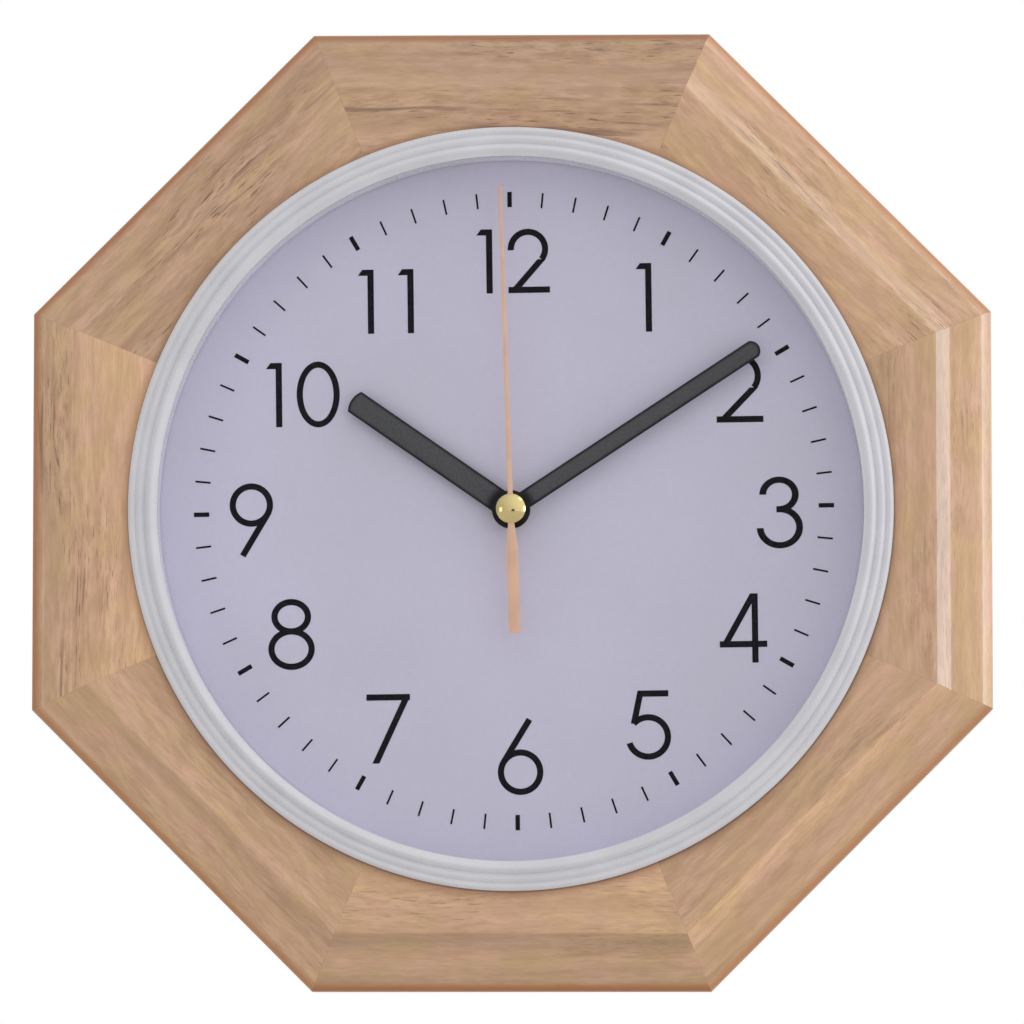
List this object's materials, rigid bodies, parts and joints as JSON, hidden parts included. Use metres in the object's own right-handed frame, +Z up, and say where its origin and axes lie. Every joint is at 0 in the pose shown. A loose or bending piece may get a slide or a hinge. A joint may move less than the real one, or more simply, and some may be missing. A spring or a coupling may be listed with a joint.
{
  "type": "schoolhouse wall clock",
  "caption": "Eight-sided wooden wall clock with a glazed white dial, bar hands and a battery movement; hangs on a screw by a keyhole plate.",
  "frame": {"origin": "the point on the wall where a screw carries the keyhole hanger, above the hand axis", "axes": "+X to the viewer's right, +Y from the clock into the wall, +Z up; the dial faces -Y"},
  "size_m": [0.3, 0.0358, 0.3],
  "materials": {
    "pale_wood": "satin",
    "white_plastic": "satin",
    "clear_glass": "polished",
    "dial_white": "matte",
    "hardboard": "matte",
    "hand_black": "satin",
    "hand_gold": "satin",
    "brass": "polished",
    "steel": "satin",
    "zinc": "satin",
    "black_plastic": "satin",
    "grey_plastic": "satin",
    "gear_white": "satin",
    "rubber": "matte",
    "board_green": "satin",
    "copper_wire": "satin",
    "ferrite": "matte",
    "magnet": "satin",
    "battery_wrap": "satin"
  },
  "bodies": {
    "case": {"frame_rail_top": "pale_wood", "frame_rail_top_left": "pale_wood", "frame_rail_left": "pale_wood", "frame_rail_bottom_left": "pale_wood", "frame_rail_bottom": "pale_wood", "frame_rail_bottom_right": "pale_wood", "frame_rail_right": "pale_wood", "frame_rail_top_right": "pale_wood", "bezel": "white_plastic", "glass": "clear_glass", "spacer_ring": "white_plastic", "dial": "dial_white", "back_plate": "hardboard", "plate_screw_top_right": "zinc", "plate_screw_top_left": "zinc", "plate_screw_bottom_left": "zinc", "plate_screw_bottom_right": "zinc", "hanger_plate": "steel", "hanger_screw_left": "zinc", "hanger_screw_right": "zinc", "gasket": "rubber", "nut_washer": "brass", "fixing_nut": "brass", "movement_housing": "black_plastic", "movement_cover": "black_plastic", "seconds_stator": "steel", "seconds_coil": "copper_wire", "minutes_stator": "steel", "minutes_coil": "copper_wire", "circuit_board": "board_green", "receiver_chip": "black_plastic", "quartz_crystal": "steel", "ferrite_rod": "ferrite", "antenna_coil": "copper_wire", "positive_contact": "steel", "negative_contact": "steel"},
    "seconds": {"seconds_wheel": "gear_white", "second_hand": "hand_gold", "hand_cap": "brass"},
    "seconds_middle": {"seconds_middle_wheel": "gear_white"},
    "seconds_motor": {"seconds_rotor": "magnet"},
    "minutes": {"minute_wheel": "gear_white", "minute_hand": "hand_black"},
    "minutes_inner": {"minutes_inner_wheel": "gear_white"},
    "minutes_outer": {"minutes_outer_wheel": "gear_white"},
    "minutes_motor": {"minutes_rotor": "magnet"},
    "motion": {"motion_wheel": "gear_white"},
    "hours": {"hour_wheel": "gear_white", "hour_hand": "hand_black"},
    "set_key": {"set_button": "grey_plastic"},
    "receive_key": {"receive_button": "grey_plastic"},
    "reset_key": {"reset_button": "grey_plastic"},
    "cell": {"battery": "battery_wrap"}
  },
  "joints": [
    {"name": "seconds_turn", "type": "hinge", "parent": "case", "child": "seconds", "pos_m": [0, -0.02, -0.1422], "axis": [0, 1, 0], "continuous": true},
    {"name": "seconds_middle_turn", "type": "hinge", "parent": "case", "child": "seconds_middle", "pos_m": [-0.01046, -0.008, -0.14128], "axis": [0, 1, 0], "continuous": true},
    {"name": "seconds_motor_turn", "type": "hinge", "parent": "case", "child": "seconds_motor", "pos_m": [-0.01783, -0.006, -0.14645], "axis": [0, 1, 0], "continuous": true},
    {"name": "minutes_turn", "type": "hinge", "parent": "case", "child": "minutes", "pos_m": [0, -0.02, -0.1422], "axis": [0, 1, 0], "continuous": true},
    {"name": "minutes_inner_turn", "type": "hinge", "parent": "case", "child": "minutes_inner", "pos_m": [0.00987, -0.008, -0.13861], "axis": [0, 1, 0], "continuous": true},
    {"name": "minutes_outer_turn", "type": "hinge", "parent": "case", "child": "minutes_outer", "pos_m": [0.01938, -0.008, -0.14305], "axis": [0, 1, 0], "continuous": true},
    {"name": "minutes_motor_turn", "type": "hinge", "parent": "case", "child": "minutes_motor", "pos_m": [0.02388, -0.006, -0.13525], "axis": [0, 1, 0], "continuous": true},
    {"name": "motion_turn", "type": "hinge", "parent": "case", "child": "motion", "pos_m": [0, -0.012, -0.1522], "axis": [0, 1, 0], "continuous": true},
    {"name": "hours_turn", "type": "hinge", "parent": "case", "child": "hours", "pos_m": [0, -0.02, -0.1422], "axis": [0, 1, 0], "continuous": true},
    {"name": "set_press", "type": "slide", "parent": "case", "child": "set_key", "axis": [0, -1, 0], "range_m": [0, 0.0006], "stiffness_N_per_m": 1000},
    {"name": "receive_press", "type": "slide", "parent": "case", "child": "receive_key", "axis": [0, -1, 0], "range_m": [0, 0.0006], "stiffness_N_per_m": 1000},
    {"name": "reset_press", "type": "slide", "parent": "case", "child": "reset_key", "axis": [0, -1, 0], "range_m": [0, 0.0006], "stiffness_N_per_m": 1000},
    {"name": "cell_slide", "type": "slide", "parent": "case", "child": "cell", "axis": [0, 1, 0], "range_m": [0, 0.02]}
  ],
  "couplings": [
    {"joint": "seconds_middle_turn", "follows": "seconds_turn", "ratio": -6},
    {"joint": "seconds_motor_turn", "follows": "seconds_turn", "ratio": 30},
    {"joint": "minutes_inner_turn", "follows": "minutes_turn", "ratio": -6},
    {"joint": "minutes_outer_turn", "follows": "minutes_turn", "ratio": 36},
    {"joint": "minutes_motor_turn", "follows": "minutes_turn", "ratio": -180},
    {"joint": "motion_turn", "follows": "minutes_turn", "ratio": -0.33333},
    {"joint": "hours_turn", "follows": "minutes_turn", "ratio": 0.083333}
  ]
}
